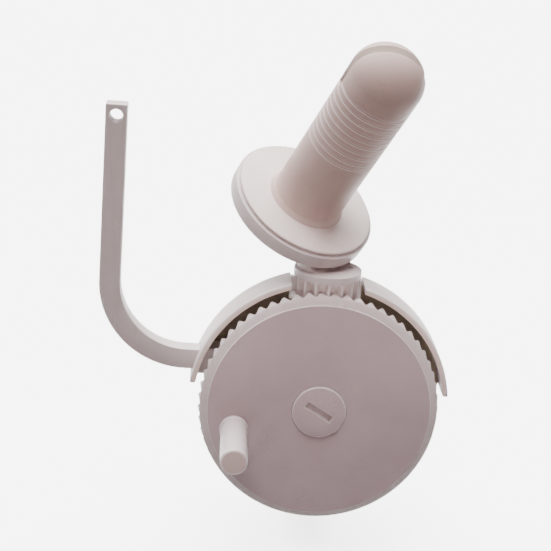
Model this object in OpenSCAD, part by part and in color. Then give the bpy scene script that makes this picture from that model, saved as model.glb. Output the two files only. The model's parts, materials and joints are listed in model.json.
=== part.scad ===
// Hand-cranked yarn ball winder on a table clamp.
// The crank wheel drives a pinion on an upright post. The pinion carries a
// tilted head, and a small fixed gear inside the head turns the spindle slowly.
// Origin: centre of the upper jaw's pad, on the table top. The wheel faces -Y.
// Modules are drawn from the centre of the wheel's front face: X right, Y back, Z up.

/* [Crank wheel] */
// Diameter over the tooth tips
wheel_d = 110; // [96:1:124]
// Diameter of the flat front disc
disc_d = 101.6; // [98:0.2:104]
// Thickness of the front disc
disc_t = 2.6; // [2:0.1:4]
// Depth of the tooth tips behind the front disc
tip_back = 6.1; // [5.5:0.1:7]
// Width of the toothed ring, measured along the radius
ring_w = 7.5; // [6:0.5:9]
// Diameter of the wheel's hub
hub_d = 24; // [20:1:30]

/* [Axle and cap] */
// Diameter of the axle's running shoulder
axle_d = 12; // [10:0.5:14]
// Diameter of the axle's end in the frame
axle_end_d = 8; // [6:0.5:9]
// Diameter of the slotted cap
cap_d = 24.4; // [20:0.2:28]
// Height of the cap above the disc
cap_t = 1.1; // [0.8:0.1:2]
// Depth of the cap's seat in the wheel
cap_sink = 1.4; // [1.2:0.1:2]
// Length of the coin slot
coin_slot_len = 13.5; // [10:0.5:16]
// Width of the coin slot
coin_slot_w = 3; // [2:0.1:4]
// Depth of the coin slot
coin_slot_t = 1.7; // [0.8:0.1:1.8]
// Slope of the coin slot, down to the right
coin_slot_turn = 31; // [0:1:90]

/* [Handle] */
// Handle's offset to the left of the axle
handle_x = 38; // [34:0.5:40]
// Handle's drop below the axle
handle_drop = 10.7; // [0:0.1:14]
// Diameter of the grip
grip_d = 12.2; // [11:0.1:15]
// Length of the grip
grip_len = 35.4; // [30:0.2:45]
// Diameter of the grip's pin
grip_pin_d = 5; // [4:0.5:6]

/* [Hood] */
// Radial gap between tooth tips and hood
hood_gap = 2.2; // [1.2:0.1:3.5]
// Wall of the hood
hood_wall = 2.6; // [2:0.1:3.2]
// Hood's front edge behind the wheel's front face
hood_front = 7; // [6:0.1:8]
// Depth of the hood from front to back
hood_depth = 18; // [17:0.5:22]
// Height of the hood's two tips above the axle
hood_tip_z = 7.5; // [4:0.5:10]
// Gap between the head's collar and the sides of the cut-out
notch_gap = 1.2; // [0.8:0.1:3]
// Thickness of the dark gear shield
shield_t = 1.6; // [1.2:0.1:2]

/* [Revolving head] */
// Diameter of the collar
collar_d = 30.6; // [29:0.2:34]
// Height of the collar's underside above the wheel's tooth tips
collar_lift = 4.5; // [4:0.1:6]
// Thickness of the collar
collar_t = 3.2; // [2.8:0.1:4]
// Diameter of the post
post_d = 8; // [7:0.5:9]
// Tilt of the spindle from upright
tilt = 34.6; // [33:0.1:36]
// Direction in which the spindle leans at rest, from the front to the right
lean_turn = 38.6; // [0:0.1:90]
// Diameter of the neck between collar and dish
neck_d = 25; // [22:0.5:27]
// Height of the dish's underside above the collar, on the upright axis
neck_h = 3.04; // [2.6:0.02:6]

/* [Spindle] */
// Flange's upper face below that meeting point, along the tilted axis
flange_drop = 31.8; // [31:0.1:33]
// Diameter of the flange
flange_d = 65; // [64:0.1:68]
// Thickness of the spindle's own flange disc
flange_t = 1.6; // [1.4:0.1:2]
// Diameter of the gear dish under the disc
dish_d = 68; // [66:0.2:74]
// Width of the chamfer round the dish's underside
dish_edge = 3; // [0.5:0.1:3]
// Depth of the gear dish
dish_h = 8.5; // [8.3:0.1:9.5]
// Wall of the gear dish
dish_wall = 2; // [1.6:0.1:2.2]
// Diameter of the cone at the flange
cone_d = 33; // [31:0.1:35]
// Diameter of the cone at its dome
cone_tip_d = 33.4; // [30:0.1:34]
// Length of the cone up to its dome
cone_len = 75.4; // [71:0.1:84]
// Height of the dome
dome_h = 15.4; // [12:0.1:17]
// Wall of the cone
cone_wall = 2.3; // [1.8:0.1:3]
// Width of the yarn slot across the tip
yarn_slot_w = 4.8; // [3:0.1:6]
// Distance of the yarn slot's middle from the spindle's axis
yarn_slot_off = 0.8; // [0:0.1:2]
// Depth of the yarn slot from the tip of the dome
yarn_slot_len = 26.6; // [22:0.2:30]
// Turn of the yarn slot about the spindle
yarn_slot_turn = 36; // [0:1:180]
// Number of ring grooves
groove_n = 10; // [0:1:11]
// Distance between ring grooves
groove_step = 3.35; // [2.5:0.05:3.5]
// Depth of a ring groove
groove_depth = 0.45; // [0.2:0.05:0.8]
// Height of the lowest ring groove above the flange
groove_z = 36.5; // [20:0.5:38]
// Diameter of the spindle's pin
spindle_pin_d = 6; // [5:0.5:7]

/* [Yarn arm] */
// Distance of the arm's upright from the axle
arm_x = 97.6; // [90:0.2:110]
// Height of the arm's top above the axle
arm_top = 132.2; // [100:0.2:160]
// Width of the arm as seen from the front
arm_w = 9.3; // [8:0.1:10]
// Depth of the arm from front to back
arm_t = 8.7; // [7:0.1:9.2]
// Radius of the arm's bend, at its middle
arm_bend_r = 35.4; // [20:0.2:36]
// Height of the arm's level stretch above the axle
arm_z = 17.3; // [16.5:0.1:24]
// Diameter of the yarn eye
eye_d = 6; // [4:0.5:6.5]
// Distance of the eye from the arm's top
eye_drop = 5; // [4.5:0.1:8]
// Length of the arm inside the hood
arm_grip = 12.5; // [11.5:0.5:16]

/* [Table clamp] */
// Height of the wheel's axle above the table
axle_h = 4; // [0:0.5:12]
// Middle of the jaw behind the wheel's front face
jaw_y = 62; // [60:1:72]
// Opening of the clamp without its screw
throat = 38; // [32:1:60]
// Width of the frame's column
column_w = 30; // [28:1:34]
// Thickness of the clamp's lower arm
lower_arm_t = 12; // [11:1:14]
// Diameter of the clamp screw
clamp_screw_d = 8; // [7:0.5:9]
// Gap between the jaws at rest
rest_gap = 8; // [5:0.5:12]
// Diameter of the clamp's knob
knob_d = 24; // [20:1:28]

/* [Hidden] */
$fn = 96;
// Clearances: running fits on the radius, loose slides, end play
run_fit = 0.05;
slide_gap = 0.2;
end_play = 0.2;
// Overlap that keeps cuts open
eps = 1;

// Wheel gear: pitch cone from the point where the two axes meet
wheel_teeth = 60;
pinion_teeth = 15;
wheel_r = wheel_d / 2;
gear_ratio = wheel_teeth / pinion_teeth;
wheel_cone = atan(gear_ratio);
tip_gap = 0.35;
tooth_half = 1.7;
rim_flare = 0.8;
rim_shoulder = 2.6;
wheel_pitch_r = wheel_r - rim_flare / 2;
wheel_cone_len = wheel_pitch_r / sin(wheel_cone);
axis_y = (rim_shoulder + tip_back) / 2 + wheel_pitch_r / gear_ratio;
ring_inner_r = wheel_r - ring_w;
ring_inner_back = tip_back + ring_w / gear_ratio;
// Widths of the notches and of the pinion's teeth; a cut runs on past the tips by cut_over
notch_top_w = 4.8;
notch_root_w = 1;
cut_over = 1;
prism_over = 4;
pinion_tip_w = 0.7;
pinion_root_w = 2.6;
pinion_rim = 0.7;
tooth_sink = 0.8;

// Planes behind the wheel, from front to back
boss_front = 11.6;
thrust_t = 1.2;
hub_back = boss_front - thrust_t - end_play;
hood_r = wheel_r + hood_gap;
hood_back = hood_front + hood_depth;
hood_flange_t = 2;
shield_back = hood_back - hood_flange_t;
shield_front = shield_back - shield_t;
plate_t = 3;
plate_back = hood_back + plate_t;
column_back = 42;
plate_r = hood_r - 0.3;
boss_d = 17;
boss_sink = 9.5;
boss_top = wheel_r - boss_sink;
boss_bottom = 16;
notch_w = collar_d + 2 * notch_gap;
notch_z = boss_top + 0.3;
collar_z = wheel_r + collar_lift;
guard_y = axis_y + collar_d / 2 + notch_gap;
guard_t = 3;
guard_top = collar_z - 7;
boss_gap = 0.5;
hood_screw_in = 8.2;
hood_screw_r = hood_r - hood_screw_in;
screw_head_t = 1.2;
screw_slot_w = 0.6;
screw_slot_t = 0.5;
screw_cover = 0.5;
screw_end = shield_front + screw_cover;
hood_screw_d = 3;
hood_screw_angles = [36, 66, 114, 136];
hood_flange_w = 14.2;
hood_flange_r = hood_r - hood_flange_w;
axle_boss_d = 26;
axle_end_len = 18;
axle_bush_wall = 1.5;
cap_seat_gap = 0.3;
thrust_rim = 1;
handle_boss_wall = 3;
handle_boss_back = hub_back - 2;
grip_end_wall = 3.5;
grip_pin_gap = 0.5;
grip_collar = 0.5;
grip_collar_t = 2.2;
grip_chamfer = 0.7;

// Head
washer_t = 1.1;
pinion_bottom = boss_top + washer_t + end_play;
spigot_d = 15;
bush_wall = 1.5;
bush_top = collar_z + 1;
washer_rim = 1;
neck_shift = (collar_d - neck_d) / 2 - 0.3;
post_gap = 0.2;
thin_post_d = 4;
post_bottom = boss_bottom + 4;
dish_gap = 0.3;
dish_edge_h = 2;
dish_top = -flange_t - dish_gap;
dish_bottom = dish_top - dish_h;
dish_floor = dish_bottom + 1.3;
pin_boss_d = 14;
pin_boss_bottom = dish_bottom - 7;
// Height above the axle where the tilted axis meets the upright one
apex_h = collar_z + collar_t + neck_h + (flange_drop - dish_bottom) / cos(tilt);

// Fixed gear and spindle gear: both pitch cones meet where the axes meet
sun_teeth = 6;
spindle_teeth = 42;
spindle_cone_a = atan(sin(tilt) / (sun_teeth / spindle_teeth + cos(tilt)));
sun_cone_a = tilt - spindle_cone_a;
small_half = 0.75;
small_gap = 0.2;
small_sink = 0.3;
small_notch_top = 2.4;
small_notch_root = 0.8;
small_tip_w = 0.4;
small_root_w = 1.4;
gear_bottom = dish_floor + 0.4;
gear_top = gear_bottom + 3.1;
mesh_s1 = flange_drop - gear_top;
mesh_s2 = flange_drop - gear_bottom;
sun_pitch_r = mesh_s2 / cos(spindle_cone_a) * sin(sun_cone_a);
sun_tip_r = sun_pitch_r + small_half;
sun_top = apex_h - (flange_drop + flange_t + 0.4) / cos(tilt) - sun_tip_r * tan(tilt);
sun_bottom = sun_top - 2.6;
gear_hub_d = 37;
gear_screw_r = 14;
gear_screw_d = 2.5;
gear_screw_n = 3;
gear_screw_seat = 1.6;
gear_screw_head = 1.4;
gear_screw_end = 3;
root_len = 12;
root_bore_d = 22;

// Cone
web_z = 50;
web_t = 10;
spindle_bush_d = 10;
clip_t = 1.2;
pin_top = web_z + web_t + 3.2;
cavity_top = cone_len - 4;
foot_w = 1.6;
dome_steps = 16;
foot_h = 2.4;

// Yarn arm and its socket
socket_wall = 1.2;
arm_shield_gap = 1;
arm_front = shield_front - arm_shield_gap - arm_t;
arm_end_x = arm_grip - sqrt(pow(hood_r, 2) - pow(arm_z, 2));
arm_bend_x = -arm_x + arm_bend_r;
arm_bend_z = arm_z + arm_bend_r;

// Clamp
jaw_pad_t = 2;
jaw_t = 12;
jaw_len = 46;
jaw_w = 36;
jaw_face = -axle_h;
lower_top = jaw_face - throat;
lower_bottom = lower_top - lower_arm_t;
clamp_pad_d = 22;
clamp_pad_t = 5;
pad_top = jaw_face - rest_gap;
pad_bottom = pad_top - clamp_pad_t;
pad_socket = 3;
travel_up = rest_gap - 2;
knob_top = lower_bottom - travel_up - 1;
knob_h = 13;
knob_edge = 1;
knob_floor = 3;
knob_flutes = 8;
flute_d = 6;
flute_out = 1.5;
pad_edge = 1;
screw_hole_gap = 0.5;
jaw_pad_side = 3;
jaw_pad_end = 4;
nut_w = 15;
nut_t = 7;

ivory = "#e9e2df";
dark = "#3a3226";
steel = "#b9bbbd";
rubber = "#4a4846";
brass = "#b79a5b";

// Wheel frame to table frame
module on_table() translate([0, -jaw_y, axle_h]) children();

// Upright axis of the head
module on_axis() on_table() translate([0, axis_y, 0]) children();

// Tilted axis of the spindle, z = 0 on the flange's upper face
module on_spindle()
    on_axis() translate([0, 0, apex_h]) rotate([tilt, 0, lean_turn])
        translate([0, 0, -flange_drop]) children();

// Round bar along Y, from y = 0 backwards
module bar_y(d, len) rotate([-90, 0, 0]) cylinder(d = d, h = len);

// Prisms along the lines of a pitch cone. The cone's tip is at z = 0 and it opens to +z.
// x runs outwards from the cone: half_in below it and half_out above it.
module cone_prisms(n, cone, from, to, half_in, half_out, in_w, out_w)
    for (i = [0 : n - 1])
        rotate([0, 0, i * 360 / n]) rotate([0, cone, 0]) translate([0, 0, from])
            linear_extrude(to - from)
                polygon([[-half_in, -in_w / 2], [half_out, -out_w / 2],
                         [half_out, out_w / 2], [-half_in, in_w / 2]]);

// Frame: column, hood plate, axle boss, post boss and the C of the table clamp
module main_frame() color(ivory) on_table() difference() {
    union() {
        translate([-column_w / 2, hood_back, lower_bottom])
            cube([column_w, column_back - hood_back, boss_top - lower_bottom]);
        translate([0, hood_back, 0]) intersection() {
            bar_y(2 * plate_r, plate_t);
            translate([-plate_r, 0, hood_tip_z])
                cube([2 * plate_r, plate_t, plate_r]);
        }
        translate([0, boss_front, 0]) bar_y(axle_boss_d, hood_back - boss_front + eps);
        translate([0, axis_y, boss_bottom]) cylinder(d = boss_d, h = boss_top - boss_bottom);
        translate([-boss_d / 2, axis_y, boss_bottom])
            cube([boss_d, hood_back - axis_y + eps, boss_top - boss_bottom]);
        translate([-notch_w / 2 - hood_wall, guard_y, boss_bottom])
            cube([notch_w + 2 * hood_wall, guard_t, guard_top - boss_bottom]);
        translate([-jaw_w / 2, column_back - eps, jaw_face + jaw_pad_t])
            cube([jaw_w, jaw_y + jaw_len / 2 - column_back + eps - jaw_w / 2, jaw_t]);
        translate([0, jaw_y + jaw_len / 2 - jaw_w / 2, jaw_face + jaw_pad_t])
            cylinder(d = jaw_w, h = jaw_t);
        translate([-column_w / 2, column_back - eps, lower_bottom])
            cube([column_w, jaw_y - column_back + eps, lower_arm_t]);
        translate([0, jaw_y, lower_bottom]) cylinder(d = column_w, h = lower_arm_t);
        for (x = [-column_w / 2, column_w / 2 - plate_t])
            translate([x, 0, jaw_face + jaw_pad_t + jaw_t]) column_rib();
    }
    translate([-notch_w / 2, 0, boss_top]) cube([notch_w, guard_y, wheel_d]);
    translate([0, boss_front - eps, 0]) bar_y(axle_end_d, axle_end_len + eps);
    translate([0, axis_y, post_bottom]) cylinder(d = post_d, h = boss_top);
    translate([0, jaw_y, lower_bottom - eps])
        cylinder(d = clamp_screw_d + 2 * screw_hole_gap, h = lower_arm_t + 2 * eps);
    translate([0, jaw_y, lower_bottom - eps]) cylinder(d = nut_w, h = nut_t + eps, $fn = 6);
    for (a = hood_screw_angles) at_hood_screw(a, hood_back - eps)
        bar_y(hood_screw_d, plate_t + 2 * eps);
}

// Triangular rib between the column's back and the jaw
module column_rib()
    rotate([90, 0, 90]) linear_extrude(plate_t)
        polygon([[column_back - eps, -eps], [jaw_y, -eps], [column_back - eps, boss_bottom]]);

module at_hood_screw(a, y)
    translate([hood_screw_r * cos(a), y, hood_screw_r * sin(a)]) children();

// Part of the wheel's circle that lies above the hood's tips
module above_tips(y1, y2)
    translate([-wheel_d, y1, hood_tip_z]) cube([2 * wheel_d, y2 - y1, 2 * wheel_d]);

// Half of the wheel's room: side -1 is left, 1 is right
module half(side)
    translate([(side - 1) / 2 * 2 * wheel_d, -wheel_d, -wheel_d])
        cube([2 * wheel_d, 2 * wheel_d, 3 * wheel_d]);

// Hood halves, one on each side of the pinion's cut-out
module hood_left() color(ivory) on_table() intersection() {
    hood_shell();
    half(-1);
}
module hood_right() color(ivory) on_table() intersection() {
    hood_shell();
    half(1);
}

// Curved strip over the wheel, rear rim and arm socket
module hood_shell() difference() {
    union() {
        intersection() {
            translate([0, hood_front, 0]) difference() {
                bar_y(2 * (hood_r + hood_wall), hood_depth);
                translate([0, -eps, 0]) bar_y(2 * hood_r, hood_depth - hood_flange_t + eps);
                bar_y(2 * hood_flange_r, hood_depth + eps);
            }
            above_tips(0, hood_back);
        }
        arm_socket();
    }
    translate([-notch_w / 2, -eps, notch_z]) cube([notch_w, hood_back + 2 * eps, wheel_d]);
    post_boss_space();
    arm_space(slide_gap);
    for (a = hood_screw_angles) at_hood_screw(a, 0) bar_y(hood_screw_d, hood_back + eps);
}

// Socket for the arm, between the strip and the shield
module arm_socket()
    intersection() {
        translate([-wheel_d, arm_front - slide_gap - socket_wall,
                   arm_z - arm_w / 2 - slide_gap - socket_wall])
            cube([wheel_d + arm_end_x + slide_gap + socket_wall,
                  shield_front - arm_front + slide_gap + socket_wall,
                  arm_w + 2 * slide_gap + 2 * socket_wall]);
        bar_y(2 * hood_r + hood_wall, hood_back);
    }

// Arm's level stretch, grown by a gap
module arm_space(gap)
    translate([-wheel_d, arm_front - gap, arm_z - arm_w / 2 - gap])
        cube([wheel_d + arm_end_x + gap, arm_t + 2 * gap, arm_w + 2 * gap]);

// Room for the post's boss in the hood's rim and the shield
module post_boss_space()
    translate([-boss_d / 2 - boss_gap, 0, 0])
        cube([boss_d + 2 * boss_gap, hood_back + eps, notch_z + eps]);

// Dark plates that close the hood behind the wheel
module shield_left() color(dark) on_table() intersection() {
    shield_plate();
    half(-1);
}
module shield_right() color(dark) on_table() intersection() {
    shield_plate();
    half(1);
}
module shield_plate() difference() {
    intersection() {
        translate([0, shield_front, 0]) bar_y(2 * plate_r, shield_t);
        above_tips(0, hood_back);
    }
    translate([-notch_w / 2, 0, notch_z]) cube([notch_w, hood_back, wheel_d]);
    post_boss_space();
    bar_y(axle_boss_d + 2 * boss_gap, hood_back);
    for (a = hood_screw_angles) at_hood_screw(a, screw_end) bar_y(hood_screw_d, hood_back);
}

// Pan-head screws through the frame's plate and the hood's rim into the shields
module hood_screws() color(steel) on_table()
    for (a = hood_screw_angles) {
        at_hood_screw(a, screw_end) bar_y(hood_screw_d, plate_back - screw_end);
        at_hood_screw(a, plate_back) difference() {
            bar_y(2 * hood_screw_d, screw_head_t);
            translate([-hood_screw_d, screw_head_t - screw_slot_t, -screw_slot_w / 2])
                cube([2 * hood_screw_d, screw_slot_t + eps, screw_slot_w]);
        }
    }

// Axle with the wide slotted cap that holds the wheel on
module axle_screw() color(ivory) on_table() difference() {
    union() {
        translate([0, -cap_t, 0]) bar_y(cap_d, cap_t + cap_sink - end_play);
        bar_y(axle_d, boss_front);
        bar_y(axle_end_d, boss_front + axle_end_len);
    }
    translate([0, -cap_t - eps, 0]) rotate([0, coin_slot_turn, 0])
        translate([-coin_slot_len / 2, 0, -coin_slot_w / 2])
            cube([coin_slot_len, eps + coin_slot_t, coin_slot_w]);
}

// Washer between the wheel's hub and the frame
module thrust_washer() color(steel) on_table() difference() {
    translate([0, boss_front - thrust_t, 0]) bar_y(hub_d - 2 * thrust_rim, thrust_t);
    bar_y(axle_d + 2 * run_fit, boss_front + eps);
}

// Bush pressed into the wheel's hub
module axle_bush() color(brass) on_table() translate([0, cap_sink, 0]) difference() {
    bar_y(axle_d + 2 * axle_bush_wall, hub_back - cap_sink);
    translate([0, -eps, 0]) bar_y(axle_d + 2 * run_fit, hub_back + 2 * eps);
}

// Wheel: front disc, flared rim, ring of teeth that point backwards, hub, handle boss
module crank_wheel() color(ivory) on_table() difference() {
    union() {
        rotate([-90, 0, 0]) rotate_extrude($fn = 180)
            polygon([[0, 0], [disc_d / 2, 0], [wheel_r - rim_flare, rim_shoulder],
                     [wheel_r, tip_back], [ring_inner_r, ring_inner_back],
                     [ring_inner_r, disc_t], [0, disc_t]]);
        bar_y(hub_d, hub_back);
        translate([-handle_x, 0, -handle_drop])
            bar_y(grip_pin_d + 2 * handle_boss_wall, handle_boss_back);
    }
    translate([0, axis_y, 0]) rotate([90, 0, 0]) rotate([0, 0, 90])
        cone_prisms(wheel_teeth, wheel_cone, ring_inner_r - prism_over,
                    wheel_cone_len + prism_over,
                    tooth_half, tooth_half + cut_over, notch_root_w, notch_flare());
    translate([0, -eps, 0]) bar_y(axle_d + 2 * axle_bush_wall, hub_back + 2 * eps);
    translate([0, -eps, 0]) bar_y(cap_d + 2 * cap_seat_gap, cap_sink + eps);
    translate([-handle_x, -eps, -handle_drop]) bar_y(grip_pin_d, hub_back + eps);
}

// Notch width where the cut ends, so that it is notch_top_w wide at the tips
function notch_flare() = notch_root_w
    + (notch_top_w - notch_root_w) * (2 * tooth_half + cut_over) / (2 * tooth_half);

// Pin of the handle, pressed into the wheel
module handle_pin() color(steel) on_table()
    translate([-handle_x, -grip_len + grip_end_wall + grip_pin_gap, -handle_drop])
        bar_y(grip_pin_d, grip_len - grip_end_wall - grip_pin_gap + handle_boss_back);

// Grip that turns on the pin: collar at the wheel, plain barrel, flat end
module handle_grip() color(ivory) on_table()
    translate([-handle_x, -end_play, -handle_drop]) rotate([90, 0, 0]) difference() {
        rotate_extrude()
            polygon([[0, 0], [grip_d / 2 + grip_collar, 0],
                     [grip_d / 2 + grip_collar, grip_collar_t],
                     [grip_d / 2, grip_collar_t + grip_collar],
                     [grip_d / 2, grip_len - grip_chamfer],
                     [grip_d / 2 - grip_chamfer, grip_len], [0, grip_len]]);
        translate([0, 0, -eps])
            cylinder(d = grip_pin_d + 2 * run_fit, h = grip_len - grip_end_wall + eps);
    }

// Fixed post: thick where the head runs on it, thin where it enters the dish
module head_post() color(steel) on_axis() {
    translate([0, 0, post_bottom]) cylinder(d = post_d, h = bush_top - end_play - post_bottom);
    translate([0, 0, bush_top - end_play])
        cylinder(d = thin_post_d, h = sun_top - bush_top + end_play);
}

// Small fixed gear at the top of the post
module sun_gear() color(brass) on_axis() difference() {
    intersection() {
        union() {
            translate([0, 0, sun_bottom])
                cylinder(r = sun_pitch_r - small_half - small_gap, h = sun_top - sun_bottom);
            translate([0, 0, apex_h]) mirror([0, 0, 1]) rotate([0, 0, lean_turn + 90])
                cone_prisms(sun_teeth, sun_cone_a, apex_h - sun_top - cut_over,
                            apex_h - sun_bottom + cut_over,
                            small_half + small_gap + small_sink, small_half,
                            small_root_w, small_tip_w);
        }
        translate([0, 0, sun_bottom]) cylinder(r = wheel_r, h = sun_top - sun_bottom);
    }
    translate([0, 0, sun_bottom - eps]) cylinder(d = thin_post_d, h = sun_top);
}

// Washer under the head
module head_washer() color(steel) on_axis() translate([0, 0, boss_top]) difference() {
    cylinder(d = spigot_d + 2 * washer_rim, h = washer_t);
    translate([0, 0, -eps]) cylinder(d = post_d + 2 * run_fit, h = washer_t + 2 * eps);
}

// Bush of the head
module post_bush() color(brass) on_axis() translate([0, 0, pinion_bottom]) difference() {
    cylinder(d = post_d + 2 * bush_wall, h = bush_top - pinion_bottom);
    translate([0, 0, -eps])
        cylinder(d = post_d + 2 * run_fit, h = bush_top - pinion_bottom + 2 * eps);
}

// Pinion under the collar, driven by the wheel
module drive_pinion() color(ivory) on_axis() difference() {
    intersection() {
        union() {
            translate([0, 0, pinion_bottom])
                cylinder(r1 = pinion_root(pinion_bottom), r2 = pinion_root(collar_z),
                         h = collar_z - pinion_bottom);
            rotate([0, 0, -90])
                cone_prisms(pinion_teeth, 90 - wheel_cone, pinion_bottom - prism_over,
                            collar_z + prism_over, tooth_half + tooth_sink, tooth_half - tip_gap,
                            pinion_root_w, pinion_tip_w);
        }
        translate([0, 0, pinion_bottom])
            cylinder(d = collar_d - 2 * pinion_rim, h = collar_z - pinion_bottom);
    }
    translate([0, 0, pinion_bottom - eps]) cylinder(d = spigot_d, h = collar_z);
}

// Radius of the pinion's core at a height above the axle
function pinion_root(z) = z / gear_ratio - tooth_half - tip_gap;

// Revolving head: collar, slanting neck, gear dish and boss for the spindle's pin
module tilt_head() color(ivory) difference() {
    union() {
        on_axis() translate([0, 0, pinion_bottom])
            cylinder(d = spigot_d, h = collar_z - pinion_bottom);
        on_axis() translate([0, 0, collar_z]) cylinder(d = collar_d, h = collar_t);
        intersection() {
            on_axis() rotate([0, 0, lean_turn]) translate([0, neck_shift, collar_z])
                cylinder(d = neck_d, h = apex_h - collar_z);
            on_spindle() translate([0, 0, dish_bottom - wheel_d])
                cylinder(d = 2 * wheel_d, h = wheel_d);
        }
        on_spindle() translate([0, 0, dish_bottom])
            cylinder(d1 = dish_d - 2 * dish_edge, d2 = dish_d, h = dish_edge_h);
        on_spindle() translate([0, 0, dish_bottom + dish_edge_h])
            cylinder(d = dish_d, h = dish_h - dish_edge_h);
        on_spindle() translate([0, 0, pin_boss_bottom])
            cylinder(d = pin_boss_d, h = dish_bottom - pin_boss_bottom);
    }
    on_spindle() translate([0, 0, dish_floor])
        cylinder(d = flange_d - 2 * dish_wall, h = dish_h);
    on_axis() translate([0, 0, pinion_bottom - eps])
        cylinder(d = post_d + 2 * bush_wall, h = bush_top - pinion_bottom + eps);
    on_axis() translate([0, 0, collar_z])
        cylinder(d = thin_post_d + 2 * post_gap, h = sun_top - collar_z);
    on_spindle() translate([0, 0, pin_boss_bottom - eps])
        cylinder(d = spindle_pin_d, h = dish_floor - pin_boss_bottom + 2 * eps);
}

// Tilted pin on which the spindle turns
module spindle_pin() color(steel) on_spindle() translate([0, 0, pin_boss_bottom])
    cylinder(d = spindle_pin_d, h = pin_top - pin_boss_bottom);

// Spindle gear inside the dish
module spindle_gear() color(brass) on_spindle() difference() {
    union() {
        difference() {
            translate([0, 0, gear_bottom])
                cylinder(r1 = gear_tip(gear_bottom), r2 = gear_tip(gear_top),
                         h = gear_top - gear_bottom);
            translate([0, 0, flange_drop]) mirror([0, 0, 1]) rotate([0, 0, -90])
                cone_prisms(spindle_teeth, spindle_cone_a, mesh_s1 - prism_over,
                            mesh_s2 / cos(spindle_cone_a) + prism_over,
                            small_half + small_gap, small_half + cut_over,
                            small_notch_root, small_flare());
        }
        translate([0, 0, gear_bottom]) cylinder(d = gear_hub_d, h = -flange_t - gear_bottom);
    }
    translate([0, 0, gear_bottom - eps])
        cylinder(d = spindle_pin_d + 2 * run_fit, h = -gear_bottom + 2 * eps);
    at_gear_screws(gear_bottom - eps) {
        cylinder(d = gear_screw_d, h = -gear_bottom + 2 * eps);
        cylinder(d = 2 * gear_screw_d, h = gear_screw_seat + eps);
    }
}

// Places of the gear's screws at a height above the flange's face
module at_gear_screws(z)
    for (i = [0 : gear_screw_n - 1])
        rotate([0, 0, 360 / gear_screw_n * i]) translate([gear_screw_r, 0, z]) children();

// Outer radius of the spindle gear at a height above the flange's face
function gear_tip(z) =
    (flange_drop - z) * tan(spindle_cone_a) + small_half / cos(spindle_cone_a);

// Notch width of the spindle gear where the cut ends
function small_flare() =
    small_notch_root + (small_notch_top - small_notch_root)
        * (2 * small_half + small_gap + cut_over) / (2 * small_half + small_gap);

// Screws that hold the spindle gear under the cone
module gear_screws() color(steel) on_spindle()
    at_gear_screws(gear_bottom + gear_screw_seat - gear_screw_head) {
        cylinder(d = gear_screw_d, h = root_len - gear_screw_end - gear_bottom);
        cylinder(d = 2 * gear_screw_d, h = gear_screw_head);
    }

// Spindle: flange disc, hollow cone with ring grooves, dome and yarn slot
module spindle_cone() color(ivory) on_spindle() difference() {
    union() {
        translate([0, 0, -flange_t]) cylinder(d = flange_d, h = flange_t);
        cylinder(d1 = cone_d, d2 = cone_tip_d, h = cone_len);
        cylinder(d1 = cone_d + 2 * foot_w, d2 = cone_d, h = foot_h);
        translate([0, 0, cone_len]) rotate_extrude() polygon(dome_outline());
    }
    translate([0, 0, -flange_t - eps]) cylinder(d = root_bore_d, h = web_z + flange_t + eps);
    translate([0, 0, root_len]) cylinder(d = cone_tip_d - 2 * cone_wall, h = web_z - root_len);
    translate([0, 0, web_z + web_t])
        cylinder(d = cone_tip_d - 2 * cone_wall, h = cavity_top - web_z - web_t);
    translate([0, 0, web_z - eps]) cylinder(d = spindle_bush_d, h = web_t + 2 * eps);
    for (i = [0 : 1 : groove_n - 1]) ring_groove(groove_z + i * groove_step);
    rotate([0, 0, -yarn_slot_turn])
        translate([-cone_d, yarn_slot_off - yarn_slot_w / 2, cone_len + dome_h - yarn_slot_len])
            cube([2 * cone_d, yarn_slot_w, yarn_slot_len + eps]);
    at_gear_screws(-flange_t - eps)
        cylinder(d = gear_screw_d, h = root_len + flange_t + eps - gear_screw_end + end_play + eps);
}

// Half outline of the dome, with a root inside the cone
function dome_outline() =
    concat([[0, -cone_wall], [cone_tip_d / 2 - cone_wall, -cone_wall]],
           [for (i = [0 : dome_steps])
               [cone_tip_d / 2 * cos(90 * i / dome_steps), dome_h * sin(90 * i / dome_steps)]]);

// Radius of the cone at a height above the flange
function cone_r(z) = cone_d / 2 + (cone_tip_d - cone_d) / 2 * z / cone_len;

module ring_groove(z)
    translate([0, 0, z]) rotate_extrude()
        polygon([[cone_r(z) + eps, -eps - groove_depth], [cone_r(z) - groove_depth, 0],
                 [cone_r(z) + eps, eps + groove_depth]]);

// Upper bush of the spindle, pressed into the cone's web
module spindle_bush() color(brass) on_spindle() translate([0, 0, web_z]) difference() {
    cylinder(d = spindle_bush_d, h = web_t);
    translate([0, 0, -eps]) cylinder(d = spindle_pin_d + 2 * run_fit, h = web_t + 2 * eps);
}

// Clip on the pin that keeps the spindle from lifting off
module spindle_clip() color(steel) on_spindle()
    translate([0, 0, web_z + web_t + end_play]) difference() {
        cylinder(d = 2 * spindle_pin_d, h = clip_t);
        translate([0, 0, -eps]) cylinder(d = spindle_pin_d, h = clip_t + 2 * eps);
    }

// Yarn arm: level stretch that plugs into the hood, bend, upright and eye
module yarn_arm() color(ivory) on_table() difference() {
    union() {
        translate([arm_bend_x, arm_front, arm_z - arm_w / 2])
            cube([arm_end_x - arm_bend_x, arm_t, arm_w]);
        translate([arm_bend_x, arm_front + arm_t, arm_bend_z]) rotate([90, 0, 0])
            rotate([0, 0, 180]) rotate_extrude(angle = 90)
                translate([arm_bend_r - arm_w / 2, 0]) square([arm_w, arm_t]);
        translate([-arm_x - arm_w / 2, arm_front, arm_bend_z])
            cube([arm_w, arm_t, arm_top - arm_bend_z]);
    }
    translate([-arm_x, arm_front - eps, arm_top - eye_drop]) bar_y(eye_d, arm_t + 2 * eps);
}

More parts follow.
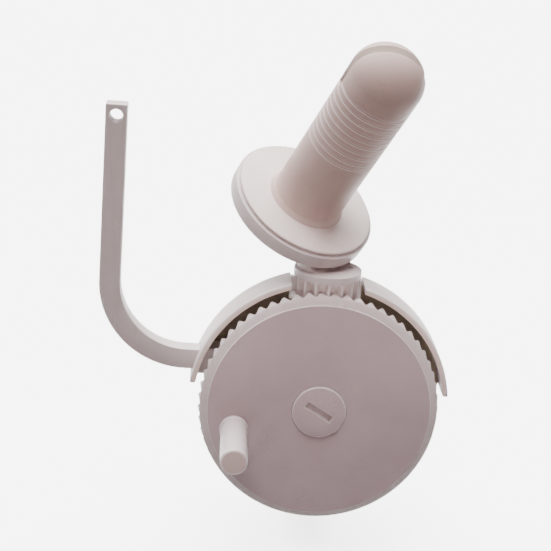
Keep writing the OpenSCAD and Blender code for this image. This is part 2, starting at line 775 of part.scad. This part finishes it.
// Rubber pad under the upper jaw
module jaw_pad() color(rubber) on_table()
    translate([-jaw_w / 2 + jaw_pad_side, jaw_y - jaw_len / 2 + jaw_pad_end, jaw_face])
        cube([jaw_w - 2 * jaw_pad_side, jaw_len - 2 * jaw_pad_end, jaw_pad_t]);

// Nut in the lower arm
module clamp_nut() color(steel) on_table() translate([0, jaw_y, lower_bottom]) difference() {
    cylinder(d = nut_w, h = nut_t, $fn = 6);
    translate([0, 0, -eps]) cylinder(d = clamp_screw_d + 2 * run_fit, h = nut_t + 2 * eps);
}

// Pressure pad on the end of the clamp screw
module clamp_pad() color(ivory) on_table() translate([0, jaw_y, pad_bottom]) difference() {
    union() {
        cylinder(d = clamp_pad_d, h = clamp_pad_t - pad_edge);
        cylinder(d = clamp_pad_d - 2 * pad_edge, h = clamp_pad_t);
    }
    translate([0, 0, -eps]) cylinder(d = clamp_screw_d + 2 * run_fit, h = pad_socket + eps);
}

// Clamp screw
module clamp_screw() color(steel) on_table()
    translate([0, jaw_y, knob_top - knob_h + knob_floor])
        cylinder(d = clamp_screw_d,
                 h = pad_bottom + pad_socket - end_play - knob_top + knob_h - knob_floor);

// Knob with finger flutes on the screw's lower end
module clamp_knob() color(ivory) on_table() translate([0, jaw_y, knob_top - knob_h])
    difference() {
        union() {
            translate([0, 0, knob_edge]) cylinder(d = knob_d, h = knob_h - 2 * knob_edge);
            cylinder(d = knob_d - 2 * knob_edge, h = knob_h);
        }
        translate([0, 0, knob_floor]) cylinder(d = clamp_screw_d, h = knob_h);
        for (i = [0 : knob_flutes - 1])
            rotate([0, 0, 360 / knob_flutes * i]) translate([knob_d / 2 + flute_out, 0, -eps])
                cylinder(d = flute_d, h = knob_h + 2 * eps, $fn = 48);
    }

main_frame();
hood_left();
hood_right();
shield_left();
shield_right();
hood_screws();
axle_screw();
thrust_washer();
axle_bush();
crank_wheel();
handle_pin();
handle_grip();
head_post();
sun_gear();
head_washer();
post_bush();
drive_pinion();
tilt_head();
spindle_pin();
spindle_gear();
gear_screws();
spindle_cone();
spindle_bush();
spindle_clip();
yarn_arm();
jaw_pad();
clamp_nut();
clamp_pad();
clamp_screw();
clamp_knob();
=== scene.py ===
"""Looks of a hand-cranked yarn ball winder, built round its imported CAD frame.

Everything is in metres in the part's frame: +Z up, the crank wheel faces -Y.
"""

import json
import math

import bmesh
import bpy
from mathutils import Matrix, Vector


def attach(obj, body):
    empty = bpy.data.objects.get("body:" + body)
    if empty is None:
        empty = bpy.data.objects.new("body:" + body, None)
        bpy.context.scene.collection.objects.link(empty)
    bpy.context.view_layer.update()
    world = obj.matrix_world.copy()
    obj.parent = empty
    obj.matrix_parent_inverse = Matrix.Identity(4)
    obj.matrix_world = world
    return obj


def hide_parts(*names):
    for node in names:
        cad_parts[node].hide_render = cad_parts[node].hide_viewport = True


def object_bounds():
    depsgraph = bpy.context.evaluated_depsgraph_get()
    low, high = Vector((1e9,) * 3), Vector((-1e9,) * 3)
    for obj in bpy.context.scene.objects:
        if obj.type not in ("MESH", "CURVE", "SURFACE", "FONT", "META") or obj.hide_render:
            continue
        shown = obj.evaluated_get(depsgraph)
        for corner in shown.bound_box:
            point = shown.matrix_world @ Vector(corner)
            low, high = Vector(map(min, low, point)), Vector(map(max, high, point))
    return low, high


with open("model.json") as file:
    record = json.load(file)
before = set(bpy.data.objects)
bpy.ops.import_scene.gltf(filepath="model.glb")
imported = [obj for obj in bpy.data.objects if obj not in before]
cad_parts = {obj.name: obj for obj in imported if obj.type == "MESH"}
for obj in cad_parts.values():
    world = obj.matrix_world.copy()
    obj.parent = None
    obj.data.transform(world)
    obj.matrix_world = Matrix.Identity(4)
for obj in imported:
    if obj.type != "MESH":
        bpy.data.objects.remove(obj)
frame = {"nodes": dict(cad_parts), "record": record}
cad_low, cad_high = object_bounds()

MM = 0.001
WELD = 1e-6
FLAT_ANGLE = math.radians(0.6)
EDGE_ANGLE = math.radians(25)

# Material slots of a dressed piece: its finish is slot 0, the paler tone that paints highlights on
# its rounded edges is slot 1, and the painted light or shade of chosen faces is slot 2
EDGE_HIGHLIGHT_SLOT = 1
CHOSEN_SLOT = 2
BEVEL_STEPS = 3
SPECIAL_BEVEL_STEPS = 4

SLOT_OF = {row["node"]: row["material_slot"] for row in frame["record"]["subparts"]}
BODY_OF = {
    node: body
    for body, nodes in frame["record"]["behaviour"]["bodies"].items()
    for node in nodes
}

# Axes that turned marks run round: the wheel's, the upright one and the spindle's
WHEEL_AXIS = Vector((0, 1, 0))
UPRIGHT_AXIS = Vector((0, 0, 1))
SPINDLE_AXIS = Vector((0.354266, -0.443781, 0.823136))


# Material parts


def new_material(name, roughness, specular=0.5, metallic=0.0):
    """A Principled material with the sockets that are the same all over."""
    material = bpy.data.materials.new(name)
    material.use_nodes = True
    shader = material.node_tree.nodes["Principled BSDF"]
    shader.inputs["Roughness"].default_value = roughness
    shader.inputs["Specular IOR Level"].default_value = specular
    shader.inputs["Metallic"].default_value = metallic
    return material, material.node_tree, shader


def noise(tree, scale, detail=3.0, axis=None, squeeze=1.0):
    """Noise in object space, scale in waves per metre, squeezed along an axis."""
    place = tree.nodes.new("ShaderNodeTexCoord")
    mapping = tree.nodes.new("ShaderNodeMapping")
    mapping.vector_type = "TEXTURE"
    if axis:
        turn = axis.to_track_quat("Z", "Y").to_euler()
        mapping.inputs["Rotation"].default_value = turn
        mapping.inputs["Scale"].default_value = (1, 1, 1 / squeeze)
    texture = tree.nodes.new("ShaderNodeTexNoise")
    texture.inputs["Scale"].default_value = scale
    texture.inputs["Detail"].default_value = detail
    tree.links.new(place.outputs["Object"], mapping.inputs["Vector"])
    tree.links.new(mapping.outputs["Vector"], texture.inputs["Vector"])
    return texture.outputs["Fac"]


def ramp(tree, value, stops):
    """Colour ramp over a value; stops are (position, colour) pairs."""
    node = tree.nodes.new("ShaderNodeValToRGB")
    elements = node.color_ramp.elements
    while len(elements) < len(stops):
        elements.new(0.5)
    for element, (position, colour) in zip(elements, stops):
        element.position = position
        element.color = (*colour, 1.0)
    tree.links.new(value, node.inputs["Fac"])
    return node.outputs["Color"]


def spread(tree, value, low, high, start=0.0, end=1.0):
    """The value, stretched from start..end to low..high."""
    node = tree.nodes.new("ShaderNodeMapRange")
    node.inputs["From Min"].default_value = start
    node.inputs["From Max"].default_value = end
    node.inputs["To Min"].default_value = low
    node.inputs["To Max"].default_value = high
    tree.links.new(value, node.inputs["Value"])
    return node.outputs["Result"]


def math_node(tree, operation, first, second):
    node = tree.nodes.new("ShaderNodeMath")
    node.operation = operation
    node.use_clamp = True
    tree.links.new(first, node.inputs[0])
    tree.links.new(second, node.inputs[1])
    return node.outputs["Value"]


def crevice_shade_mask(tree, reach):
    """Painted shade: 1 deep in a piece's own slots and corners, 0 on open faces, from ambient
    occlusion.
    """
    node = tree.nodes.new("ShaderNodeAmbientOcclusion")
    node.only_local = True
    node.samples = 8
    node.inputs["Distance"].default_value = reach
    return spread(tree, node.outputs["AO"], 0.0, 1.0, 0.92, 0.45)


def blend_colours(tree, mask, first, second):
    node = tree.nodes.new("ShaderNodeMix")
    node.data_type = "RGBA"
    tree.links.new(mask, node.inputs["Factor"])
    tree.links.new(first, node.inputs["A"])
    tree.links.new(second, node.inputs["B"])
    return node.outputs["Result"]


def bump(tree, shader, height, distance):
    node = tree.nodes.new("ShaderNodeBump")
    node.inputs["Distance"].default_value = distance
    tree.links.new(height, node.inputs["Height"])
    tree.links.new(node.outputs["Normal"], shader.inputs["Normal"])


def moulded_plastic(name, tones, roughness, grain, depth, axis=None, squeeze=1.0, specular=0.25):
    """Moulded plastic: slow colour drift, scuffs, mould grain, painted shade in crevices.

    tones are the dark, light, scuffed and crevice shade colours; marks run round an axis.
    """
    dark, light, scuffed, crevice_shade_tone = tones
    material, tree, shader = new_material(name, roughness, specular)
    drift = ramp(tree, noise(tree, 26, 4), [(0.32, dark), (0.68, light)])
    scuff_field = noise(tree, 55, 5, axis, squeeze)
    scuff = math_node(
        tree, "MULTIPLY",
        spread(tree, scuff_field, 0.0, 1.0, 0.56, 0.74),
        spread(tree, noise(tree, 900, 3), 0.0, 1.0, 0.42, 0.62),
    )
    handled = ramp(tree, noise(tree, 420, 3), [(0.3, scuffed), (0.7, dark)])
    colour = blend_colours(tree, scuff, drift, handled)
    # painted shade: slots and corners darken towards the crevice shade colour
    crevice_shade_colour = ramp(tree, noise(tree, 240, 4), [(0.25, crevice_shade_tone), (0.75, scuffed)])
    colour = blend_colours(tree, crevice_shade_mask(tree, 2.4 * MM), colour, crevice_shade_colour)
    tree.links.new(colour, shader.inputs["Base Color"])
    gloss = spread(tree, noise(tree, 80, 5, axis, squeeze), roughness - 0.1, roughness + 0.12)
    tree.links.new(gloss, shader.inputs["Roughness"])
    bump(tree, shader, noise(tree, grain, 2, axis, squeeze), depth)
    return material


def turned_steel(name, dark, light, roughness, axis):
    """Plated steel with fine turning marks round an axis."""
    material, tree, shader = new_material(name, roughness, metallic=1.0)
    drift = ramp(tree, noise(tree, 120, 5), [(0.3, dark), (0.7, light)])
    tree.links.new(drift, shader.inputs["Base Color"])
    marks = noise(tree, 700, 3, axis, 8.0)
    tree.links.new(
        spread(tree, marks, roughness - 0.1, roughness + 0.12), shader.inputs["Roughness"]
    )
    bump(tree, shader, marks, 0.006 * MM)
    return material


def rubber(name, dark, light):
    """Matte rubber with a coarse grain and dusty patches."""
    material, tree, shader = new_material(name, 0.85, specular=0.25)
    grain = ramp(tree, noise(tree, 700, 4), [(0.35, dark), (0.65, light)])
    tree.links.new(grain, shader.inputs["Base Color"])
    bump(tree, shader, noise(tree, 1800, 3), 0.05 * MM)
    return material


# Finishes: one for each slot, and variants for pieces that are turned or handled; paler edge tones
# paint highlights, and some tones paint light or shade on chosen faces and pieces

# Plastic tones: dark, light, scuffed, and the crevice colour that paints shade into slots and corners
IVORY = ((0.620, 0.565, 0.553), (0.690, 0.640, 0.628), (0.55, 0.485, 0.465), (0.27, 0.205, 0.185))
# painted highlight: paler ivory for rounded edges
IVORY_EDGE_HIGHLIGHT = ((0.82, 0.77, 0.76), (0.95, 0.925, 0.915), (0.70, 0.64, 0.62), (0.40, 0.32, 0.30))
# painted shade: darker mauve tones for the front faces of the wheel's disc and the axle cap
FRONT_SHADE_TONES = ((0.470, 0.367, 0.387), (0.530, 0.428, 0.446), (0.45, 0.345, 0.360), (0.26, 0.195, 0.18))
# painted shade: warm brownish tones for the grip's end face
GRIP_END_SHADE_TONES = ((0.66, 0.53, 0.49), (0.72, 0.59, 0.55), (0.57, 0.45, 0.41), (0.40, 0.31, 0.27))
# painted light: lighter, warmer tones for the hood's front faces
HOOD_FRONT_LIGHT_TONES = ((0.87, 0.73, 0.65), (0.94, 0.81, 0.73), (0.80, 0.66, 0.58), (0.62, 0.50, 0.43))
# painted light: pale tones for the spindle's yarn slot walls and flange top
SLOT_AND_FLANGE_LIGHT_TONES = ((0.80, 0.71, 0.66), (0.88, 0.80, 0.75), (0.74, 0.65, 0.60), (0.66, 0.56, 0.51))
# painted shade: darker, browner tones for the whole spindle cone
CONE_SHADE_TONES = ((0.560, 0.432, 0.396), (0.630, 0.502, 0.460), (0.49, 0.362, 0.325), (0.31, 0.228, 0.20))
# painted highlight: paler tones for the cone's rounded edges
CONE_EDGE_HIGHLIGHT = ((0.78, 0.69, 0.66), (0.88, 0.80, 0.775), (0.66, 0.57, 0.54), (0.44, 0.35, 0.33))
# painted light: lighter tones for the pinion, which sits in the collar's shade, with little painted
# crevice shade
PINION_LIGHT_TONES = ((0.860, 0.770, 0.740), (0.920, 0.850, 0.830), (0.80, 0.70, 0.67), (0.76, 0.64, 0.60))
# painted shade: olive-brown tones for the dark_plastic plate that stands in for the shade in the gap
# behind the wheel's teeth
SHADE_PLATE_TONES = ((0.270, 0.225, 0.160), (0.370, 0.312, 0.230), (0.42, 0.35, 0.26), (0.24, 0.20, 0.14))
INNER = ((0.60, 0.52, 0.40), (0.70, 0.62, 0.49), (0.52, 0.44, 0.33), (0.36, 0.29, 0.20))
# painted highlight: paler tones for the shade plate's rounded edges
SHADE_PLATE_EDGE_HIGHLIGHT = ((0.36, 0.31, 0.24), (0.46, 0.40, 0.31), (0.42, 0.35, 0.26), (0.27, 0.225, 0.16))
ZINC = ((0.46, 0.47, 0.48), (0.62, 0.63, 0.64))
# painted highlight: paler zinc for rounded edges
ZINC_EDGE_HIGHLIGHT = ((0.70, 0.71, 0.72), (0.86, 0.86, 0.86))
RUBBER = ((0.018, 0.017, 0.016), (0.045, 0.043, 0.04))
# painted highlight: paler rubber for rounded edges
RUBBER_EDGE_HIGHLIGHT = ((0.05, 0.048, 0.045), (0.09, 0.086, 0.08))
FINE = 0.012 * MM

FINISHES = {
    "ivory_plastic": moulded_plastic("ivory_plastic", IVORY, 0.44, 2600, FINE),
    # dark_plastic pieces show painted shade behind the wheel's teeth
    "dark_plastic": moulded_plastic("dark_plastic", SHADE_PLATE_TONES, 0.6, 1800, 0.03 * MM),
    "inner_plastic": moulded_plastic("inner_plastic", INNER, 0.45, 2600, FINE),
    "steel": turned_steel("steel", *ZINC, 0.34, WHEEL_AXIS),
    "rubber": rubber("rubber", *RUBBER),
}
# Paler tones on rounded edges: painted highlights
EDGE_HIGHLIGHTS = {
    "ivory_plastic": moulded_plastic("ivory_edge_highlight", IVORY_EDGE_HIGHLIGHT, 0.36, 2600, FINE),
    "dark_plastic": moulded_plastic("shade_plate_edge_highlight", SHADE_PLATE_EDGE_HIGHLIGHT, 0.5, 1800, FINE),
    "steel": turned_steel("steel_edge_highlight", *ZINC_EDGE_HIGHLIGHT, 0.28, WHEEL_AXIS),
    "rubber": rubber("rubber_edge_highlight", *RUBBER_EDGE_HIGHLIGHT),
}
# painted highlight on the cone's rounded edges
EDGE_HIGHLIGHT_VARIANTS = {
    "spindle_cone": moulded_plastic("ivory_cone_edge_highlight", CONE_EDGE_HIGHLIGHT, 0.36, 2600, FINE),
}
VARIANTS = {
    # the pinion takes a painted light
    "drive_pinion": moulded_plastic("ivory_pinion_lit", PINION_LIGHT_TONES, 0.46, 2600, FINE),
    "crank_wheel": moulded_plastic("ivory_wheel", IVORY, 0.48, 1700, 0.02 * MM),
    # the spindle cone takes a painted shade all over
    "spindle_cone": moulded_plastic("ivory_cone_shaded", CONE_SHADE_TONES, 0.38, 900, FINE, SPINDLE_AXIS, 9.0, 0.1),
    "handle_grip": moulded_plastic("ivory_grip", IVORY, 0.36, 900, FINE, WHEEL_AXIS, 9.0),
    "clamp_screw": turned_steel("steel_upright", *ZINC, 0.32, UPRIGHT_AXIS),
}
# painted shade for the wheel's and cap's front faces
FRONT_SHADE_FINISH = moulded_plastic("ivory_front_shade", FRONT_SHADE_TONES, 0.48, 1700, 0.02 * MM)
# painted shade for the grip's end face
GRIP_END_SHADE_FINISH = moulded_plastic("ivory_grip_end_shade", GRIP_END_SHADE_TONES, 0.44, 1700, FINE)
# painted light for the hood's front faces
HOOD_FRONT_PAINTED_LIGHT = moulded_plastic("ivory_hood_front_lit", HOOD_FRONT_LIGHT_TONES, 0.44, 2600, FINE)
# painted light for the yarn slot walls and the flange top
SLOT_AND_FLANGE_PAINTED_LIGHT = moulded_plastic("ivory_slot_flange_lit", SLOT_AND_FLANGE_LIGHT_TONES, 0.44, 2600, FINE)


def finish_of(node):
    return VARIANTS.get(node, FINISHES[SLOT_OF[node]])


# Pieces


def smooth_faces(obj):
    """Smooth shading with sharp edges kept."""
    for polygon in obj.data.polygons:
        polygon.use_smooth = True
    obj.data.set_sharp_from_angle(angle=EDGE_ANGLE)


def stand_for(node, bm, name):
    """Turn a bmesh into the piece that shows in place of a CAD node."""
    mesh = bpy.data.meshes.new(name)
    bm.to_mesh(mesh)
    bm.free()
    obj = bpy.data.objects.new(name, mesh)
    bpy.context.scene.collection.objects.link(obj)
    mesh.materials.append(finish_of(node))
    # slot 1: the paler tone that paints highlights on rounded edges
    mesh.materials.append(EDGE_HIGHLIGHT_VARIANTS.get(node, EDGE_HIGHLIGHTS[SLOT_OF[node]]))
    smooth_faces(obj)
    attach(obj, BODY_OF[node])
    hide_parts(node)
    return obj


def bevel(bm, edges, width, segments):
    """Round edges; the new faces on outer ones take the piece's paler edge tone, a painted highlight.
    """
    made = bmesh.ops.bevel(
        bm, geom=edges, offset=width, offset_type="OFFSET", segments=segments,
        profile=0.5, affect="EDGES", clamp_overlap=True, material=EDGE_HIGHLIGHT_SLOT,
    )
    bm.normal_update()
    for face in made["faces"]:
        if any(not e.is_convex and e.calc_face_angle(0) > FLAT_ANGLE for e in face.edges):
            face.material_index = 0


def sharp_edges(bm, test=None):
    """Edges with a corner between their faces; test, if given, holds at both ends."""
    return [
        e for e in bm.edges
        if len(e.link_faces) == 2 and e.calc_face_angle(0) > EDGE_ANGLE
        and (test is None or all(test(v.co) for v in e.verts))
    ]


def step_down(bm, edges, kept, move):
    """Cut a step along a loop of edges: faces that aren't kept sink by a move."""
    rim = bmesh.ops.split_edges(bm, edges=edges)["edges"]
    sunk = {v for e in rim for f in e.link_faces if not kept(f) for v in e.verts}
    for vert in sunk:
        vert.co += move
    bmesh.ops.bridge_loops(bm, edges=rim)
    bmesh.ops.recalc_face_normals(bm, faces=bm.faces)


def dressed(node, width, specials=(), chosen=None, finish=None, step=None):
    """A copy of a CAD node with rounded edges.

    specials are pairs of a test on an edge's ends and a width; faces chosen by a test
    on their centre and normal take a painted light or shade tone of their own; a step is
    cut along the edges that its first test picks.
    """
    bm = bmesh.new()
    bm.from_mesh(frame["nodes"][node].data)
    bmesh.ops.remove_doubles(bm, verts=bm.verts, dist=WELD)
    bmesh.ops.dissolve_limit(bm, angle_limit=FLAT_ANGLE, verts=bm.verts, edges=bm.edges)
    if step:
        test, kept, move = step
        step_down(bm, sharp_edges(bm, test), kept, move)
    for test, special_width in specials:
        bevel(bm, sharp_edges(bm, test), special_width, SPECIAL_BEVEL_STEPS)
    bevel(bm, sharp_edges(bm), width, BEVEL_STEPS)
    if chosen:
        for face in bm.faces:
            if chosen(face.calc_center_median(), face.normal):
                face.material_index = CHOSEN_SLOT
    piece = stand_for(node, bm, node + "_dressed")
    if chosen:
        piece.data.materials.append(finish)


def threaded_rod(node, radius, low, high, pitch, depth, plain_ends):
    """The clamp's screw: a right-hand thread cut into a rod along Z."""
    sides = 48
    rows = int((high - low) / (pitch / 10))
    bm = bmesh.new()
    rings = []
    for row in range(rows + 1):
        z = low + (high - low) * row / rows
        fade = min(1.0, (z - low) / plain_ends, (high - z) / plain_ends)
        ring = []
        for side in range(sides):
            angle = 2 * math.pi * side / sides
            phase = (z / pitch - side / sides) % 1.0
            flank = abs(2 * phase - 1)
            cut = depth * min(1.0, max(0.0, 1.25 * flank - 0.125))
            r = radius - cut * max(0.0, fade)
            ring.append(bm.verts.new((r * math.cos(angle), r * math.sin(angle), z)))
        rings.append(ring)
    for lower, upper in zip(rings, rings[1:]):
        for i in range(sides):
            j = (i + 1) % sides
            bm.faces.new((lower[i], lower[j], upper[j], upper[i]))
    bm.faces.new(rings[0][::-1])
    bm.faces.new(rings[-1])
    stand_for(node, bm, node + "_thread")


# Every CAD node takes its finish; the pieces below stand for most of those that show
for name, obj in frame["nodes"].items():
    obj.data.materials.clear()
    obj.data.materials.append(finish_of(name))

for name, width in {
    "yarn_arm": 0.9 * MM,
    "tilt_head": 0.5 * MM,
    "main_frame": 0.8 * MM,
    "drive_pinion": 0.2 * MM,
    "hood_screws": 0.2 * MM,
    "clamp_knob": 0.5 * MM,
    "clamp_pad": 0.3 * MM,
    "jaw_pad": 0.3 * MM,
    "shield_left": 0.25 * MM,
    "shield_right": 0.25 * MM,
    "clamp_nut": 0.25 * MM,
    "thrust_washer": 0.15 * MM,
    "handle_pin": 0.2 * MM,
    "spindle_pin": 0.2 * MM,
    "head_post": 0.2 * MM,
}.items():
    dressed(name, width)

NEAR = 0.02 * MM
FACES_FRONT = -0.99
WHEEL_FACE = -62 * MM
WHEEL_HEIGHT = 4 * MM
DISC_RADIUS = 50.8 * MM
HOOD_FACE = -55 * MM
HOOD_TIP = 11.5 * MM
HOOD_RADIUS = 59.8 * MM


def from_wheel_axis(place):
    return math.hypot(place.x, place.z - WHEEL_HEIGHT)


def at_hood_tip(place):
    return place.z < HOOD_TIP + NEAR


def on_hood_edge(place):
    return place.y < HOOD_FACE + NEAR and from_wheel_axis(place) > HOOD_RADIUS - NEAR


def on_hood_front(centre, normal):
    return normal.y < FACES_FRONT and centre.y < HOOD_FACE + NEAR


def on_disc_edge(place):
    return place.y < WHEEL_FACE + NEAR and from_wheel_axis(place) > DISC_RADIUS - NEAR


def on_disc(centre, normal):
    return normal.y < FACES_FRONT and centre.y < WHEEL_FACE + NEAR


def to_front(centre, normal):
    return normal.y < FACES_FRONT


# the hood's front faces take a painted light
for name in ("hood_left", "hood_right"):
    hood_edges = ((at_hood_tip, 1.1 * MM), (on_hood_edge, 0.9 * MM))
    dressed(name, 0.35 * MM, hood_edges, on_hood_front, HOOD_FRONT_PAINTED_LIGHT)

DISC_STEP = Vector((0, 0.7 * MM, 0))
# the wheel's front disc takes a painted shade
dressed(
    "crank_wheel", 0.15 * MM, ((on_disc_edge, 0.25 * MM),), on_disc, FRONT_SHADE_FINISH,
    (on_disc_edge, lambda face: face.normal.y < FACES_FRONT, DISC_STEP),
)
# the axle cap's front faces take a painted shade
dressed("axle_screw", 0.5 * MM, (), to_front, FRONT_SHADE_FINISH)
# the grip's end face takes a painted shade
dressed("handle_grip", 0.2 * MM, (), to_front, GRIP_END_SHADE_FINISH)

# Spindle: its flange's edge is round; its yarn slot's walls and its flange's top are painted paler, a
# painted light
FLANGE_CENTRE = Vector((0, -44, 121.0073)) * MM - 31.8 * MM * SPINDLE_AXIS
FLANGE_RADIUS = 32.5 * MM
SLOT_BOTTOM = 64.2 * MM
SLOT_REACH = 16 * MM
GROOVES_LOW = 35 * MM
GROOVES_HIGH = 68 * MM
GROOVE_LIP = 16.4 * MM
GROOVE_REACH = FLANGE_RADIUS / 2 + 1 * MM
FLANGE_TOP = 10 * MM
ALONG_AXIS = 0.95
ACROSS_AXIS = 0.05


def along_spindle(place):
    """Height above the flange and distance from the spindle's axis."""
    offset = place - FLANGE_CENTRE
    height = offset.dot(SPINDLE_AXIS)
    return height, (offset - height * SPINDLE_AXIS).length


def gets_painted_light(centre, normal):
    """The slot's walls and the flange's top, which take a painted light."""
    height, reach = along_spindle(centre)
    upward = normal.dot(SPINDLE_AXIS)
    in_slot = height > SLOT_BOTTOM + NEAR and reach < SLOT_REACH and abs(upward) < ACROSS_AXIS
    return in_slot or (height < FLANGE_TOP and upward > ALONG_AXIS)


def on_flange_edge(place):
    return along_spindle(place)[1] > FLANGE_RADIUS - NEAR


def on_groove_lip(place):
    height, reach = along_spindle(place)
    return GROOVES_LOW < height < GROOVES_HIGH and GROOVE_LIP < reach < GROOVE_REACH


cone_edges = ((on_flange_edge, 0.6 * MM), (on_groove_lip, 0.26 * MM))
dressed("spindle_cone", 0.3 * MM, cone_edges, gets_painted_light, SLOT_AND_FLANGE_PAINTED_LIGHT)

threaded_rod(
    "clamp_screw", radius=4 * MM, low=-67 * MM, high=-10.2 * MM,
    pitch=2 * MM, depth=0.8 * MM, plain_ends=1.5 * MM,
)


# Stage: a floor under the lowest piece and a backdrop round it, both pale and lit a little
# of themselves; a strong soft light from above and behind, a weaker one from above and in
# front, a small one on the neck, and weak pink light from the room

FLOOR_SIZE = 12.0
floor_mesh = bpy.data.meshes.new("floor")
bm = bmesh.new()
bmesh.ops.create_grid(bm, x_segments=1, y_segments=1, size=FLOOR_SIZE)
bm.to_mesh(floor_mesh)
bm.free()
floor = bpy.data.objects.new("floor", floor_mesh)
floor.location = (0, 0, cad_low.z - 0.2 * MM)
floor.visible_diffuse = False
bpy.context.scene.collection.objects.link(floor)
paper, paper_tree, paper_shader = new_material("floor_paper", 0.9, specular=0.1)
paper_tree.links.new(
    ramp(paper_tree, noise(paper_tree, 3, 2), [(0.3, (0.95, 0.95, 0.95)), (0.7, (0.97, 0.97, 0.97))]),
    paper_shader.inputs["Base Color"],
)
paper_shader.inputs["Emission Color"].default_value = (1.0, 1.0, 1.0, 1.0)
paper_shader.inputs["Emission Strength"].default_value = 3.6
floor_mesh.materials.append(paper)

BACKDROP_RADIUS = 10.0
BACKDROP_HEIGHT = 16.0
backdrop_mesh = bpy.data.meshes.new("backdrop")
bm = bmesh.new()
bmesh.ops.create_cone(
    bm, cap_ends=False, segments=96, depth=BACKDROP_HEIGHT,
    radius1=BACKDROP_RADIUS, radius2=BACKDROP_RADIUS,
)
bm.to_mesh(backdrop_mesh)
bm.free()
backdrop = bpy.data.objects.new("backdrop", backdrop_mesh)
backdrop.visible_diffuse = False
backdrop.visible_glossy = False
backdrop.visible_shadow = False
bpy.context.scene.collection.objects.link(backdrop)
lit_paper, _, lit_shader = new_material("backdrop_paper", 0.9, specular=0.1)
lit_shader.inputs["Base Color"].default_value = (0.2, 0.2, 0.2, 1.0)
lit_shader.inputs["Emission Color"].default_value = (1.0, 1.0, 1.0, 1.0)
lit_shader.inputs["Emission Strength"].default_value = 6.9
backdrop_mesh.materials.append(lit_paper)

world = bpy.data.worlds.new("studio")
world.use_nodes = True
sky = world.node_tree
direction = sky.nodes.new("ShaderNodeTexCoord")
parts = sky.nodes.new("ShaderNodeSeparateXYZ")
sky.links.new(direction.outputs["Generated"], parts.inputs["Vector"])
height = spread(sky, parts.outputs["Z"], 0.0, 1.0, -1.0, 1.0)
ROOM_TONES = [
    (0.0, (0.20, 0.075, 0.055)),
    (0.42, (0.23, 0.095, 0.09)),
    (0.58, (0.40, 0.21, 0.23)),
    (1.0, (0.5, 0.44, 0.48)),
]
room = ramp(sky, height, ROOM_TONES)
sky.links.new(room, sky.nodes["Background"].inputs["Color"])
sky.nodes["Background"].inputs["Strength"].default_value = 0.47
bpy.context.scene.world = world


def sun(name, direction, strength, angle, colour):
    data = bpy.data.lights.new(name, "SUN")
    data.energy = strength
    data.angle = math.radians(angle)
    data.color = colour
    light = bpy.data.objects.new(name, data)
    light.rotation_mode = "QUATERNION"
    light.rotation_quaternion = Vector(direction).to_track_quat("-Z", "Y")
    bpy.context.scene.collection.objects.link(light)


sun("back_light", (0.14, -0.46, -1.0), 10.0, 74, (1.0, 0.99, 0.985))
sun("top_light", (0.12, 0.42, -1.0), 2.2, 26, (1.0, 0.86, 0.85))

NECK_LIGHT_PLACE = Vector((-0.03, -0.62, 0.06))
NECK = Vector((0, -0.05, 0.079))
neck_data = bpy.data.lights.new("neck_fill", "SPOT")
neck_data.energy = 42.0
neck_data.spot_size = math.radians(5.5)
neck_data.spot_blend = 1.0
neck_data.shadow_soft_size = 0.08
neck_data.color = (1.0, 0.86, 0.82)
neck_fill = bpy.data.objects.new("neck_fill", neck_data)
neck_fill.location = NECK_LIGHT_PLACE
neck_fill.rotation_mode = "QUATERNION"
neck_fill.rotation_quaternion = (NECK - NECK_LIGHT_PLACE).to_track_quat("-Z", "Y")
bpy.context.scene.collection.objects.link(neck_fill)

# Camera, fitted to the photo's wheel, hood, flange and arm
CAMERA_PLACE = Vector((-0.05698, -0.64516, 0.25657))
CAMERA_RIGHT = Vector((0.9967, -0.0314, 0.0745))
CAMERA_UP = Vector((-0.0611, 0.3110, 0.9485))
IMAGE_PIXELS = 551
FOCAL_PIXELS = 1400.4
SENSOR = 36.0
camera_data = bpy.data.cameras.new("camera")
camera_data.sensor_width = SENSOR
camera_data.lens = FOCAL_PIXELS / IMAGE_PIXELS * SENSOR
camera_data.clip_start = 0.01
camera_data.clip_end = 50
camera = bpy.data.objects.new("camera", camera_data)
right = CAMERA_RIGHT.normalized()
back = right.cross(CAMERA_UP).normalized()
up = back.cross(right)
camera.matrix_world = (
    Matrix.Translation(CAMERA_PLACE) @ Matrix((right, up, back)).transposed().to_4x4()
)
bpy.context.scene.collection.objects.link(camera)
bpy.context.scene.camera = camera
